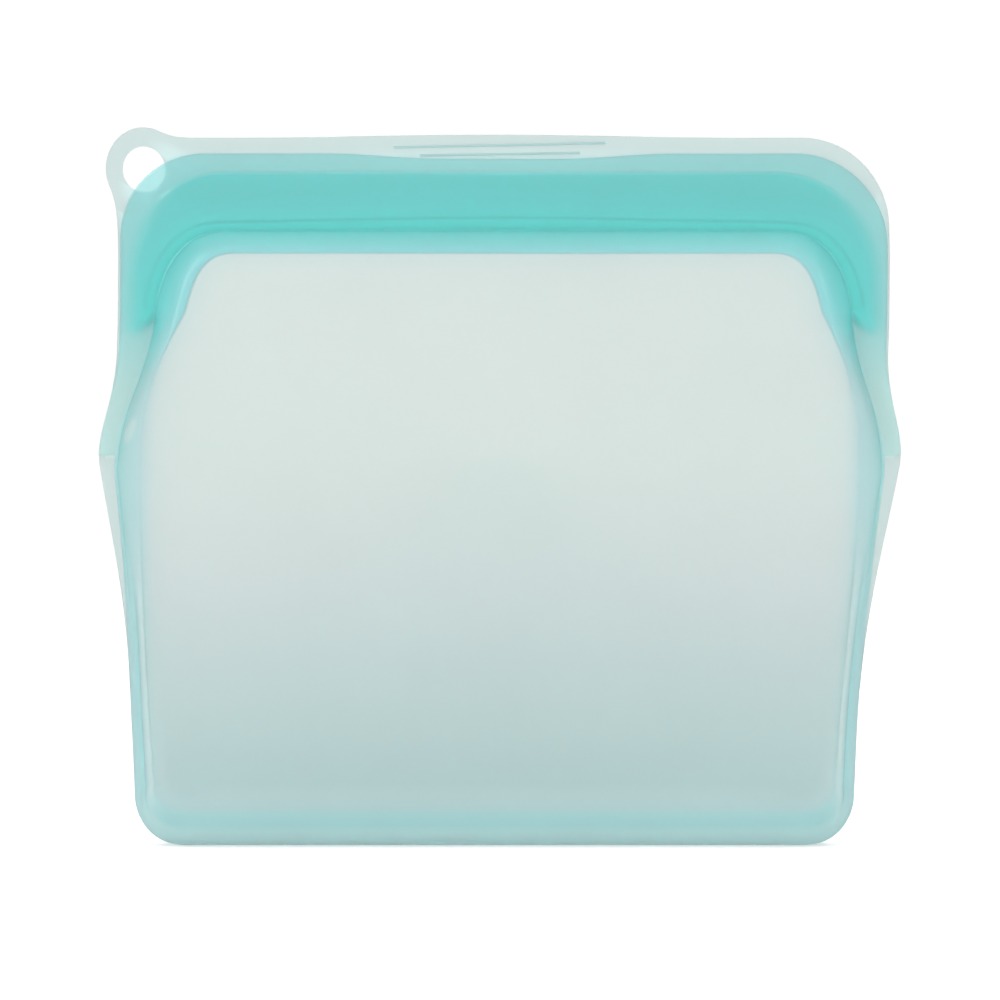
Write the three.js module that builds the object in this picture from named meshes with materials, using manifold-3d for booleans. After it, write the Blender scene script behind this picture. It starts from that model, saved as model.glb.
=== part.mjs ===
// A reusable silicone storage bag that stands on its base. It is two silicone mouldings, a front
// shell and a back shell. Each has a shallow pocket, with half of the side and base gussets, and a
// lip above it. The shells are bonded down the sides and under the base. Round the top, an
// arch-shaped rib on the front lip presses into a channel on the back lip and closes the mouth.
//
// Millimetres, +X right, +Y to the back, +Z up. The origin is the middle of the base.
import * as THREE from "three";
import { mergeVertices } from "three/addons/utils/BufferGeometryUtils.js";
import Module from "manifold-3d";

const wasm = await Module();
wasm.setup();

// Driving dimensions.
const SHEET = 1.2; // wall of every moulded sheet
const GAP = 0.3; // left between neighbouring pieces
const HALF_GAP = GAP / 2; // from the bond plane, y = 0, to each shell
const BASE_HALF = 116.8;
const BASE_CORNER = 12;
const BASE_ROUND = 7; // how far the base edge rounds in, along y
const DEPTH_LOW = 14; // pocket depth from the bond plane, at the base
const DEPTH_HIGH = 9; // and at the top of the pocket
const FACE_LOW = 11.4; // the flat face of the pocket starts this high
const FACE_HIGH = 191.8;
const FACE_CORNER = 8.5; // radius of its bottom corners
const FOOT_HIGH = 198.7; // where the shoulder of the pocket meets the seal
const WIDEST_HALF = 130.3; // half the width over the side flanges
const WIDEST_Z = 126;
const FLANGE_FADE = 56; // the edge of the side flange meets the pocket here
const FLANGE_LOW = 78; // its solid starts here, where it is wide enough
const SEAL_HIGH = 217.8;
const SEAL_END = 166; // lower end of the seal on each side
const SEAL_HALF = 122.4; // half the width over the seal
const SEAL_CORNER = 32.9;
const SEAL_THICK = 2.9; // each half of the seal
const FRONT_LIP_HIGH = 224;
const FINGER_DIP = 1.6; // the middle of the front lip is this much lower
const BACK_LIP_HIGH = 229.3;
const BACK_LIP_CROWN = 1.1; // the middle of the back lip is this much higher
const RIB = { out: 2.7, wide: 4, proud: 1.4 }; // out: from the pocket's foot
const GROOVE_CLEARANCE = 0.45; // round the rib, in the channel
const HINGE_Z = 162; // the front mouth bends about this line
const HINGE_SLOT = 3.8; // clearance that lets the rigid front pieces turn there
const TAB = { x: -115.8, z: 218.9, rx: 12.5, rz: 13.8, cut: 8.5 }; // cut: its edge to the lip
const HANG_HOLE = { rx: 7, rz: 7.5 };
const RIDGE = { wide: 0.9, proud: 0.6, upper: 226.8, lower: 223.9 };
const FAR = 400; // larger than the bag

const teal = (color) => new THREE.MeshStandardMaterial({ color, roughness: 0.45, metalness: 0 });
const sheetMaterial = teal(0xd0e3df);
const wallMaterial = teal(0xd8e4e0);
const gussetMaterial = teal(0xb8d8d7);
const sealMaterial = teal(0x6ccdc8);
const ridgeMaterial = teal(0xb0d2d2);

// --- Curves and outlines in the front view: each 2D point is (x, z) ---

const at = (x, z) => new THREE.Vector2(x, z);
const line = (x0, z0, x1, z1) => new THREE.LineCurve(at(x0, z0), at(x1, z1));
const bend = (x0, z0, cx0, cz0, cx1, cz1, x1, z1) =>
  new THREE.CubicBezierCurve(at(x0, z0), at(cx0, cz0), at(cx1, cz1), at(x1, z1));
const corner = (cx, cz, rx, rz, from, to) =>
  new THREE.EllipseCurve(cx, cz, rx, rz, (from * Math.PI) / 180, (to * Math.PI) / 180, to < from);

// A closed loop, anticlockwise, from curves up the right side, bottom middle to top middle.
function mirroredLoop(curves, steps) {
  const half = [curves[0].getPoint(0)];
  curves.forEach((curve, i) => half.push(...curve.getPoints(steps[i]).slice(1)));
  const left = half.slice(1, -1).reverse().map((p) => at(-p.x, p.y));
  return [...half, ...left];
}

const LOOP_STEPS = [1, 6, 7, 8, 7, 1];

// The pocket's foot: where its walls meet the bond plane.
const footLoop = mirroredLoop(
  [
    line(0, 0, BASE_HALF - BASE_CORNER, 0),
    corner(BASE_HALF - BASE_CORNER, BASE_CORNER, BASE_CORNER, BASE_CORNER, -90, 0),
    bend(BASE_HALF, BASE_CORNER, 118.2, 52, 120.5, 86, 125, 120),
    bend(125, 120, 125.6, 137, 115.2, 150, 113, 171),
    bend(113, 171, 111, 187, 104, FOOT_HIGH, 89, FOOT_HIGH),
    line(89, FOOT_HIGH, 0, FOOT_HIGH),
  ],
  LOOP_STEPS,
);

// The edge of the pocket's flat face, with the same steps, so that the two loops pair up.
const faceLoop = mirroredLoop(
  [
    line(0, FACE_LOW, 101, FACE_LOW),
    corner(101, FACE_LOW + FACE_CORNER, FACE_CORNER, FACE_CORNER, -90, 0),
    bend(101 + FACE_CORNER, FACE_LOW + FACE_CORNER, 112.5, 60, 115.5, 90, 116, 122),
    bend(116, 122, 116, 145, 112.5, 156, 103.5, 172),
    bend(103.5, 172, 102, 182, 98.5, FACE_HIGH, 88, FACE_HIGH),
    line(88, FACE_HIGH, 0, FACE_HIGH),
  ],
  LOOP_STEPS,
);

// How much each point of a loop belongs to the base: 1 under it, fading out round the corner.
const baseShare = footLoop.map((p) => {
  if (p.y > BASE_CORNER) return 0;
  const turned = Math.asin(Math.min(1, (BASE_CORNER - p.y) / BASE_CORNER));
  return turned / (Math.PI / 2);
});

// Moves each point of an anticlockwise loop inwards.
function insetLoop(loop, by) {
  return loop.map((p, i) => {
    const before = loop[(i + loop.length - 1) % loop.length];
    const after = loop[(i + 1) % loop.length];
    const along = after.clone().sub(before).normalize();
    return at(p.x - along.y * by, p.y + along.x * by);
  });
}

const shapeOf = (loop) => new THREE.Shape(loop);

// The outline of a lip with its side flanges. The middle of its top edge is higher by crown.
function lipOutline({ high, crown, crownHalf, topHalf, sideHalf, shoulder }) {
  const step = crownHalf / 3;
  return mirroredLoop(
    [
      line(0, FLANGE_FADE, 119.2, FLANGE_FADE),
      bend(119.2, FLANGE_FADE, 120.2, 84, 127, 104, WIDEST_HALF, WIDEST_Z - 2),
      line(WIDEST_HALF, WIDEST_Z - 2, WIDEST_HALF, WIDEST_Z),
      bend(WIDEST_HALF, WIDEST_Z, WIDEST_HALF, 136, 125, 146, sideHalf, HINGE_Z),
      line(sideHalf, HINGE_Z, sideHalf, shoulder),
      corner(topHalf, shoulder, sideHalf - topHalf, high - shoulder, 0, 90),
      line(topHalf, high, crownHalf, high),
      bend(crownHalf, high, 2 * step, high, step, high + crown, 0, high + crown),
    ],
    [1, 10, 1, 6, 1, 12, 1, 8],
  );
}

const backOutline = lipOutline({
  high: BACK_LIP_HIGH,
  crown: BACK_LIP_CROWN,
  crownHalf: 80,
  topHalf: 98,
  sideHalf: 125.4,
  shoulder: 202,
});

const frontOutline = lipOutline({
  high: FRONT_LIP_HIGH,
  crown: -FINGER_DIP,
  crownHalf: 58,
  topHalf: 96,
  sideHalf: 124.6,
  shoulder: 195,
});

// The seal's outer edge, with slanted lower ends. The pocket's foot is its inner edge.
const sealTop = { half: SEAL_HALF - SEAL_CORNER, shoulder: SEAL_HIGH - SEAL_CORNER };
const sealLoop = mirroredLoop(
  [
    line(0, SEAL_END + 6, 112, SEAL_END + 6),
    bend(112, SEAL_END + 6, 114.5, SEAL_END + 2.5, 116.5, SEAL_END, 119.6, SEAL_END),
    bend(119.6, SEAL_END, 121.2, SEAL_END, SEAL_HALF, SEAL_END + 1.2, SEAL_HALF, SEAL_END + 2.8),
    line(SEAL_HALF, SEAL_END + 2.8, SEAL_HALF, sealTop.shoulder),
    corner(sealTop.half, sealTop.shoulder, SEAL_CORNER, SEAL_CORNER, 0, 90),
    line(sealTop.half, SEAL_HIGH, 0, SEAL_HIGH),
  ],
  [1, 4, 3, 1, 12, 1],
);

// --- Solids ---

// A closed geometry as a solid that can be cut.
function solid(geometry) {
  for (const name of ["normal", "uv"]) geometry.deleteAttribute(name);
  const merged = mergeVertices(geometry, 1e-3);
  const mesh = new wasm.Mesh({
    numProp: 3,
    vertProperties: merged.attributes.position.array,
    triVerts: new Uint32Array(merged.index.array),
  });
  return new wasm.Manifold(mesh);
}

// A flat plate with an outline in the front view, from y0 back to y1.
function plate(shape, y0, y1) {
  const geometry = new THREE.ExtrudeGeometry(shape, {
    depth: y1 - y0,
    bevelEnabled: false,
    curveSegments: 12,
  });
  return solid(geometry.rotateX(Math.PI / 2).translate(0, y1, 0));
}

const prism = (loop) => plate(shapeOf(loop), -FAR / 2, FAR / 2);

// Everything between two heights, and between two x values.
function zone(zLow, zHigh, xLow = -FAR, xHigh = FAR) {
  const box = new THREE.BoxGeometry(xHigh - xLow, FAR, zHigh - zLow);
  return solid(box.translate((xLow + xHigh) / 2, 0, (zLow + zHigh) / 2));
}

// Everything between two heights on one side of the middle: side is -1 or 1.
const sideZone = (side, zLow, zHigh) =>
  side > 0 ? zone(zLow, zHigh, 0, FAR) : zone(zLow, zHigh, -FAR, 0);

const pocketDepth = (z) => DEPTH_LOW + ((DEPTH_HIGH - DEPTH_LOW) * z) / FACE_HIGH;

const WALL_STEPS = 7;
const WALL_ROUNDNESS = 1.5; // exponent: 1 is a straight chamfer, 2 an ellipse

// How far a wall has come in from the foot to the face, and out from the bond plane, both 0 to 1.
function wallAt(step, share) {
  const t = (step / WALL_STEPS) * (Math.PI / 2);
  const side = {
    into: 1 - Math.cos(t) ** (2 / WALL_ROUNDNESS),
    out: Math.sin(t) ** (2 / WALL_ROUNDNESS),
  };
  const a = (Math.max(0, step - 1) / (WALL_STEPS - 1)) * (Math.PI / 2);
  const flat = 1 - BASE_ROUND / DEPTH_LOW;
  const base = {
    into: 1 - Math.cos(a),
    out: step === 0 ? 0 : flat + (1 - flat) * Math.sin(a),
  };
  return {
    into: THREE.MathUtils.lerp(side.into, base.into, share),
    out: THREE.MathUtils.lerp(side.out, base.out, share),
  };
}

// A closed body through rings of points: each ring has the same number, and the first and last
// are filled in.
function skin(rings, firstLoop, lastLoop) {
  const n = firstLoop.length;
  const last = (rings.length - 1) * n;
  const triangles = [];
  for (let r = 0; r + 1 < rings.length; r++) {
    for (let i = 0; i < n; i++) {
      const [a, b] = [r * n + i, r * n + ((i + 1) % n)];
      triangles.push(a, b, b + n, a, b + n, a + n);
    }
  }
  const fill = (loop) => THREE.ShapeUtils.triangulateShape(loop, []);
  for (const [a, b, c] of fill(firstLoop)) triangles.push(a, c, b);
  for (const [a, b, c] of fill(lastLoop)) triangles.push(last + a, last + b, last + c);
  const geometry = new THREE.BufferGeometry();
  geometry.setAttribute("position", new THREE.Float32BufferAttribute(rings.flat(2), 3));
  geometry.setIndex(triangles);
  return solid(geometry);
}

// The space inside the front pocket's outer surface, moved inwards by inset. It reaches a little
// way behind the bond plane.
function pocketBody(inset) {
  const foot = insetLoop(footLoop, inset);
  const face = insetLoop(faceLoop, inset);
  const rings = [foot.map((p) => [p.x, HALF_GAP + SHEET, p.y])];
  for (let step = 0; step <= WALL_STEPS; step++) {
    const ring = foot.map((p, i) => {
      const { into, out } = wallAt(step, baseShare[i]);
      const x = THREE.MathUtils.lerp(p.x, face[i].x, into);
      const z = THREE.MathUtils.lerp(p.y, face[i].y, into);
      return [x, -HALF_GAP - (pocketDepth(z) - inset - HALF_GAP) * out, z];
    });
    rings.push(ring);
  }
  return skin(rings, foot, face);
}

// Everything in front of the bond plane.
const frontHalf = solid(new THREE.BoxGeometry(FAR, FAR, 2 * FAR).translate(0, -FAR / 2 - HALF_GAP, 0));

const mirrorToBack = (body) => body.mirror([0, 1, 0]);

// The hollow front pocket, open at the bond plane.
const pocket = pocketBody(0).subtract(pocketBody(SHEET)).intersect(frontHalf);
const faceColumn = prism(faceLoop);
const besideFace = prism(insetLoop(faceLoop, -GAP));
const pocketWalls = pocket.subtract(besideFace);
const outsidePocket = prism(insetLoop(footLoop, -GAP));
const belowHinge = HINGE_Z - HINGE_SLOT / 2;
const aboveHinge = HINGE_Z + HINGE_SLOT / 2;
const baseTop = FACE_LOW + 8;

// --- The front shell ---

const frontWall = () => pocket.intersect(faceColumn).intersect(zone(-1, belowHinge));

const frontThroat = () => pocket.intersect(zone(aboveHinge, FAR));

const base = () => pocketWalls.intersect(zone(-1, baseTop));

const gusset = (side, top) => pocketWalls.intersect(sideZone(side, baseTop + GAP, top));

function frontLip() {
  return plate(shapeOf(frontOutline), -HALF_GAP - SHEET, -HALF_GAP)
    .subtract(prism(insetLoop(sealLoop, -GAP)))
    .subtract(outsidePocket)
    .intersect(zone(aboveHinge, FAR));
}

// Half of the seal: a thick arch outside the pocket's foot.
function sealStrip(y0, y1) {
  return plate(shapeOf(sealLoop), y0, y1).subtract(outsidePocket);
}

// The arch of the rib, which runs beside the pocket's foot, grown by some clearance.
function ribArch(clearance, y0, y1) {
  const outer = insetLoop(footLoop, -RIB.out - RIB.wide - clearance);
  const inner = insetLoop(footLoop, -RIB.out + clearance);
  const ends = SEAL_END + 8 - clearance;
  return plate(shapeOf(outer), y0, y1).subtract(prism(inner)).intersect(zone(ends, FAR));
}

function sealRib() {
  const rib = ribArch(0, -HALF_GAP - SEAL_THICK / 2, RIB.proud);
  return sealStrip(-HALF_GAP - SEAL_THICK, -HALF_GAP).add(rib);
}

// The part of the front shell's flange that is bonded to the back one.
function sideWeld(side) {
  return plate(shapeOf(frontOutline), -HALF_GAP - SHEET, -HALF_GAP)
    .subtract(outsidePocket)
    .intersect(sideZone(side, WIDEST_Z, belowHinge));
}

// --- The back shell ---

const backWall = () => mirrorToBack(pocket.intersect(faceColumn));

const backThroat = () => mirrorToBack(pocketWalls.intersect(zone(aboveHinge, FAR)));

const backSheet = () => plate(shapeOf(backOutline), HALF_GAP, HALF_GAP + SHEET);

// Everything on one side of the diagonal that parts the hang tab from the lip.
function tabSide(outside) {
  const box = new THREE.BoxGeometry(FAR, FAR, FAR);
  const shift = outside ? TAB.cut - GAP - FAR / 2 : TAB.cut + FAR / 2;
  return solid(box.translate(shift, 0, 0).rotateY(Math.PI / 4).translate(TAB.x, 0, TAB.z));
}

function backLip() {
  return backSheet()
    .subtract(prism(insetLoop(sealLoop, -GAP)))
    .subtract(outsidePocket)
    .intersect(zone(belowHinge + GAP, FAR))
    .intersect(tabSide(false));
}

// The tab's outline: its ring, with a concave neck down to each edge of the lip.
function tabOutline() {
  const ringAt = (degrees) => {
    const a = (degrees * Math.PI) / 180;
    return at(TAB.x + TAB.rx * Math.cos(a), TAB.z + TAB.rz * Math.sin(a));
  };
  const [right, left] = [ringAt(62), ringAt(205)];
  const [side, top] = [-125.4, BACK_LIP_HIGH];
  const shape = new THREE.Shape();
  shape.moveTo(right.x, right.y);
  shape.absellipse(TAB.x, TAB.z, TAB.rx, TAB.rz, (62 * Math.PI) / 180, (205 * Math.PI) / 180, false);
  shape.lineTo(left.x, left.y);
  shape.quadraticCurveTo(side - 0.2, 209, side, 202);
  shape.lineTo(side, 194);
  shape.lineTo(-92, 194);
  shape.lineTo(-92, top);
  shape.lineTo(-101, top);
  shape.quadraticCurveTo(-106.4, top, right.x, right.y);
  return shape;
}

function hangTab() {
  const hole = new THREE.Shape().absellipse(
    TAB.x, TAB.z, HANG_HOLE.rx, HANG_HOLE.rz, 0, 2 * Math.PI, false, 0,
  );
  return plate(tabOutline(), HALF_GAP, HALF_GAP + SHEET)
    .subtract(plate(hole, -FAR, FAR))
    .intersect(tabSide(true));
}

function sealChannel() {
  const groove = ribArch(GROOVE_CLEARANCE, -HALF_GAP, RIB.proud + GROOVE_CLEARANCE);
  return sealStrip(HALF_GAP, HALF_GAP + SEAL_THICK).subtract(groove);
}

// The part of the back shell's flange below the lip.
function flange(side) {
  return backSheet().subtract(outsidePocket).intersect(sideZone(side, FLANGE_LOW, belowHinge));
}

// A raised line on the front of the back lip, for grip.
function gripRidge(length, z) {
  const box = new THREE.BoxGeometry(length, RIDGE.proud, RIDGE.wide);
  return solid(box.translate(0, HALF_GAP - GAP - RIDGE.proud / 2, z));
}

// --- The assembly ---

const bag = new THREE.Group();
bag.name = "reusable_silicone_bag";

function add(name, body, material) {
  const { numProp, vertProperties, triVerts } = body.getMesh();
  const geometry = new THREE.BufferGeometry();
  const buffer = new THREE.InterleavedBuffer(vertProperties, numProp);
  geometry.setAttribute("position", new THREE.InterleavedBufferAttribute(buffer, 3, 0));
  geometry.setIndex(new THREE.BufferAttribute(triVerts, 1));
  const flat = geometry.toNonIndexed();
  flat.computeVertexNormals();
  const mesh = new THREE.Mesh(flat, material);
  mesh.name = name;
  bag.add(mesh);
}

add("front_wall", frontWall(), wallMaterial);
add("front_throat", frontThroat(), wallMaterial);
add("front_lip", frontLip(), sheetMaterial);
add("seal_rib", sealRib(), sealMaterial);
add("front_base", base(), gussetMaterial);
add("back_wall", backWall(), wallMaterial);
add("back_throat", backThroat(), wallMaterial);
add("back_lip", backLip(), sheetMaterial);
add("seal_channel", sealChannel(), sealMaterial);
add("back_base", mirrorToBack(base()), gussetMaterial);
add("hang_tab", hangTab(), sheetMaterial);
for (const [side, word] of [[-1, "left"], [1, "right"]]) {
  add(`front_${word}_gusset`, gusset(side, belowHinge), gussetMaterial);
  add(`back_${word}_gusset`, mirrorToBack(gusset(side, aboveHinge - GAP)), gussetMaterial);
  add(`${word}_side_weld`, sideWeld(side), sheetMaterial);
  add(`${word}_flange`, flange(side), sheetMaterial);
}
add("upper_grip_ridge", gripRidge(69, RIDGE.upper), ridgeMaterial);
add("lower_grip_ridge", gripRidge(52, RIDGE.lower), ridgeMaterial);

export default bag;
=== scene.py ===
# %% [markdown]
# # A reusable silicone bag
# The bag is two soft mouldings, a front shell and a back shell, pressed flat against each other.
# Each shell is one sheet of frosted teal silicone that changes along the way: a thin lip at the
# top, a thick sealing arch, a rounded shoulder, a flat pocket face, and half of the folded base.
# Here each shell is one closed skin, pulled ring by ring, so that no seam shows through it. The
# visible pieces are the two shells and two fine grip ridges.

import math

import bpy
import numpy as np
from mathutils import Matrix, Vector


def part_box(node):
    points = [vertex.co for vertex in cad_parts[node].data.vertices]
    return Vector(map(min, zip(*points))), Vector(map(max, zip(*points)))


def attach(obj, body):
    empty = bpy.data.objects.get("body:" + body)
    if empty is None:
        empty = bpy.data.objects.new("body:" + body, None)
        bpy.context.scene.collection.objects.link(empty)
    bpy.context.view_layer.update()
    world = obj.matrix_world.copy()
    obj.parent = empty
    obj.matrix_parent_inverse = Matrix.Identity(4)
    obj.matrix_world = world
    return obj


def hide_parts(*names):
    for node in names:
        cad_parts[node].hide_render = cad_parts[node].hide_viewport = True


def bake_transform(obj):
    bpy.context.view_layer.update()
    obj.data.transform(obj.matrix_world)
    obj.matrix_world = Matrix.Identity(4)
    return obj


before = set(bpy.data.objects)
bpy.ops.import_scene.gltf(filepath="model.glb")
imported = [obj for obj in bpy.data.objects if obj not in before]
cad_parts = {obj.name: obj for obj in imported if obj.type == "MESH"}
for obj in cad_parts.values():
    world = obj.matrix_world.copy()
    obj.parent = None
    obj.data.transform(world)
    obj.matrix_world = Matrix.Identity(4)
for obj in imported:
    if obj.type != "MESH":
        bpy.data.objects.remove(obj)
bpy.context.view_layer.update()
MM = 0.001


# %% Sizes taken from the frame, in millimetres
def box_mm(node):
    low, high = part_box(node)
    return np.array(low) / MM, np.array(high) / MM


FACE_LOW, FACE_TOP = box_mm("back_wall")[0][2], box_mm("back_wall")[1][2]
FACE_HALF = box_mm("back_wall")[1][0]
FOOT_TOP = box_mm("back_throat")[1][2]
FOOT_HALF = box_mm("back_right_gusset")[1][0]
WIDE = box_mm("right_flange")[1][0]
WIDE_Z = box_mm("right_side_weld")[0][2]
SEAL_END, SEAL_TOP = box_mm("seal_channel")[0][2], box_mm("seal_channel")[1][2]
SEAL_HALF = box_mm("seal_channel")[1][0]
LIP_HALF, LIP_TOP = box_mm("front_lip")[1][0], box_mm("front_lip")[1][2]
BACK_LIP_HALF, BACK_LIP_CROWN = box_mm("back_lip")[1][0], box_mm("back_lip")[1][2]
TAB_LEFT, TAB_TOP = box_mm("hang_tab")[0][0], box_mm("hang_tab")[1][2]
print("face", FACE_LOW, FACE_TOP, "foot", FOOT_TOP, FOOT_HALF, "lips", LIP_TOP, BACK_LIP_CROWN)

# %% [markdown]
# ## Outlines
# Seen from the front, the bag is a nest of outlines: the edge of the lip, the outer edge of the
# seal, the foot where the pocket rises off the sheet, and the edge of the flat pocket face. Each
# is drawn once, up its right side, with straight lines, arcs and Bezier bends, and mirrored. Every
# point is (x, z) in millimetres, and the heights and half-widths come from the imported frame.

# %% Lines, bends and arcs
CENTRE = np.array([0.0, WIDE_Z])  # every outline can be seen whole from here


def line(start, end, steps=40):
    t = np.linspace(0, 1, steps + 1)[:, None]
    return (1 - t) * np.array(start) + t * np.array(end)


def bend(a, b, c, d, steps=60):
    t = np.linspace(0, 1, steps + 1)[:, None]
    a, b, c, d = (np.array(p, float) for p in (a, b, c, d))
    return (1 - t) ** 3 * a + 3 * (1 - t) ** 2 * t * b + 3 * (1 - t) * t**2 * c + t**3 * d


def arc(centre, radii, start, end, steps=40):
    turn = np.radians(np.linspace(start, end, steps + 1))[:, None]
    return np.array(centre) + np.hstack([np.cos(turn), np.sin(turn)]) * np.array(radii)


def mirrored(*right_side):
    right = np.vstack(right_side)
    left = right[1:-1][::-1] * (-1, 1)
    return np.vstack([right, left])


# %% The foot of the pocket and the edge of its face
BASE_HALF, BASE_CORNER = 116.8, 15.5
FOOT_STRAIGHT = 89.0  # half the straight run along the top of the pocket
BELLY = 120.0  # height where the side fold is widest
WAIST = (113.0, 171.0)  # where the side fold turns in to the shoulder

foot = mirrored(
    line((0, 0), (BASE_HALF - BASE_CORNER, 0)),
    arc((BASE_HALF - BASE_CORNER, BASE_CORNER), (BASE_CORNER, BASE_CORNER), -90, 0),
    bend((BASE_HALF, BASE_CORNER), (118.2, 52), (120.5, 86), (FOOT_HALF, BELLY)),
    bend((FOOT_HALF, BELLY), (FOOT_HALF + 0.6, 137), (115.2, 150), WAIST),
    bend(WAIST, (111, 187), (104, FOOT_TOP), (FOOT_STRAIGHT, FOOT_TOP)),
    line((FOOT_STRAIGHT, FOOT_TOP), (0, FOOT_TOP)),
)

FACE_CREST = FACE_TOP - 0.6  # the shoulder swells over the face's upper edge
FACE_BASE_HALF, FACE_CORNER = 101.0, 8.5
FACE_STRAIGHT = 87.5
FACE_WIDEST = (FACE_HALF, 122.0)
FACE_WAIST = (103.0, 172.0)
face = mirrored(
    line((0, FACE_LOW), (FACE_BASE_HALF, FACE_LOW)),
    arc((FACE_BASE_HALF, FACE_LOW + FACE_CORNER), (FACE_CORNER, FACE_CORNER), -90, 0),
    bend((FACE_BASE_HALF + FACE_CORNER, FACE_LOW + FACE_CORNER), (112.5, 60), (115.5, 90), FACE_WIDEST),
    bend(FACE_WIDEST, (FACE_HALF, 145), (112, 155), FACE_WAIST),
    bend(FACE_WAIST, (100.6, 182), (98, FACE_CREST), (FACE_STRAIGHT, FACE_CREST)),
    line((FACE_STRAIGHT, FACE_CREST), (0, FACE_CREST)),
)
print("foot", len(foot), "points, face", len(face), "points")

# %% The front lip, with the side flanges and the finger dip
SQUARE_END = 0.04  # the front flange ends in a square step, which slants by this much
BOND = 0.9  # the bonded edge where there is no flange
LIP_FOOT = 162.0  # above this height the lips' sides are straight
LIP_CORNER = (96.0, 195.0)  # centre of the front lip's upper corner
DIP_HALF, DIP = 58.0, 1.6  # the finger dip in the front lip


def along_foot(low, high):
    """The right side of the foot between two heights."""
    side = foot[: len(foot) // 2 + 1]
    return side[(side[:, 1] >= low) & (side[:, 1] < high) & (side[:, 0] > 0)]


flange_top = bend((WIDE, WIDE_Z), (WIDE, 136), (125, 146), (LIP_HALF, LIP_FOOT))
lip_radii = (LIP_HALF - LIP_CORNER[0], LIP_TOP - LIP_CORNER[1])
dip_low = LIP_TOP - DIP
front_edge = mirrored(
    line((0, 0), (BASE_HALF - BASE_CORNER, 0)),
    along_foot(0.05, WIDE_Z - 0.05),
    line((FOOT_HALF + 0.4, WIDE_Z - SQUARE_END), (WIDE, WIDE_Z + SQUARE_END)),
    flange_top,
    line((LIP_HALF, LIP_FOOT), (LIP_HALF, LIP_CORNER[1])),
    arc(LIP_CORNER, lip_radii, 0, 90),
    line((LIP_CORNER[0], LIP_TOP), (DIP_HALF, LIP_TOP)),
    bend((DIP_HALF, LIP_TOP), (42, LIP_TOP), (36, dip_low), (18, dip_low)),
    line((18, dip_low), (0, dip_low)),
)

# %% The back lip, with the tapering flanges, the crown and the hang tab
FLANGE_FADE = 50.0  # the back flange has tapered away at this height
CROWN_RISE = 1.1  # the middle of the back lip stands this much above its ends
BACK_CORNER = (98.0, 202.0)  # centre of the back lip's upper corner
back_lip_top = BACK_LIP_CROWN - CROWN_RISE
back_radii = (BACK_LIP_HALF - BACK_CORNER[0], back_lip_top - BACK_CORNER[1])
back_side = [
    line((0, 0), (BASE_HALF - BASE_CORNER, 0)),
    along_foot(0.05, FLANGE_FADE),
    bend((118.7, FLANGE_FADE), (120.4, 80), (127, 104), (WIDE, WIDE_Z - 2)),
    bend((WIDE, WIDE_Z), (WIDE, 136), (125, 146), (BACK_LIP_HALF, LIP_FOOT)),
]
crown = bend((80, back_lip_top), (52, back_lip_top), (27, BACK_LIP_CROWN), (0, BACK_LIP_CROWN))
TAB = np.array([-115.8, 218.9])  # the centre of the ring
TAB_RADII = np.array([TAB[0] - TAB_LEFT, TAB_TOP - TAB[1]])
ring = arc(TAB, TAB_RADII, 62, 205, 80)
tab_edge = [
    bend((-80, back_lip_top), (-92, back_lip_top), (-96, back_lip_top), (-99, back_lip_top)),
    bend((-99, back_lip_top), (-104, back_lip_top), (-106.8, back_lip_top + 0.4), ring[0]),
    ring,
    bend(ring[-1], (-126.0, 209.6), (-BACK_LIP_HALF, 207), (-BACK_LIP_HALF, 200)),
    line((-BACK_LIP_HALF, 200), (-BACK_LIP_HALF, LIP_FOOT)),
]
back_edge = np.vstack([
    *back_side,
    line((BACK_LIP_HALF, LIP_FOOT), (BACK_LIP_HALF, BACK_CORNER[1])),
    arc(BACK_CORNER, back_radii, 0, 90),
    crown,
    crown[::-1] * (-1, 1),
    *tab_edge,
    *[part[::-1] * (-1, 1) for part in back_side[::-1]],
])
print("front edge", len(front_edge), "points, back edge", len(back_edge), "points")

# %% The outer edge of the seal
SEAL_CORNER = (89.5, 184.5)  # centre of its upper corner
seal_radii = (SEAL_HALF - SEAL_CORNER[0], SEAL_TOP - SEAL_CORNER[1])
seal_edge = mirrored(  # its arms are drawn on down to the floor, to close round the centre
    line((0, 0), (SEAL_HALF, 0)),
    line((SEAL_HALF, 0), (SEAL_HALF, SEAL_CORNER[1])),
    arc(SEAL_CORNER, seal_radii, 0, 90),
    line((SEAL_CORNER[0], SEAL_TOP), (0, SEAL_TOP)),
)
print("seal edge", len(seal_edge), "points")

# %% [markdown]
# ## Rings on shared rays
# The outlines have different lengths, but a skin needs rings with equal numbers of points. So
# rays are sent out from the centre of the bag, and each outline gives one point on each ray. The
# rays are spaced evenly along the outer edge, which keeps the lip and the hang tab smooth.


# %% Rays from the centre
def clean(loop):
    step = np.linalg.norm(np.diff(loop, axis=0, append=loop[:1]), axis=1)
    return loop[step > 1e-6]


def cross(a, b):
    return a[:, 0] * b[:, 1] - a[:, 1] * b[:, 0]


def directions(rays):
    return np.stack([np.cos(rays), np.sin(rays)], axis=1)


def reach(loop, rays):
    """How far from the centre each ray cuts a loop."""
    offset = clean(loop) - CENTRE
    turn = np.arctan2(offset[:, 1], offset[:, 0])
    order = np.argsort(turn, kind="stable")
    offset, turn = offset[order], turn[order]
    after = np.searchsorted(turn, rays, side="right") % len(turn)
    start, edge = offset[after - 1], offset[after] - offset[after - 1]
    return cross(start, edge) / cross(directions(rays), edge)


def places(radius, rays):
    return CENTRE + radius[:, None] * directions(rays)


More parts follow.
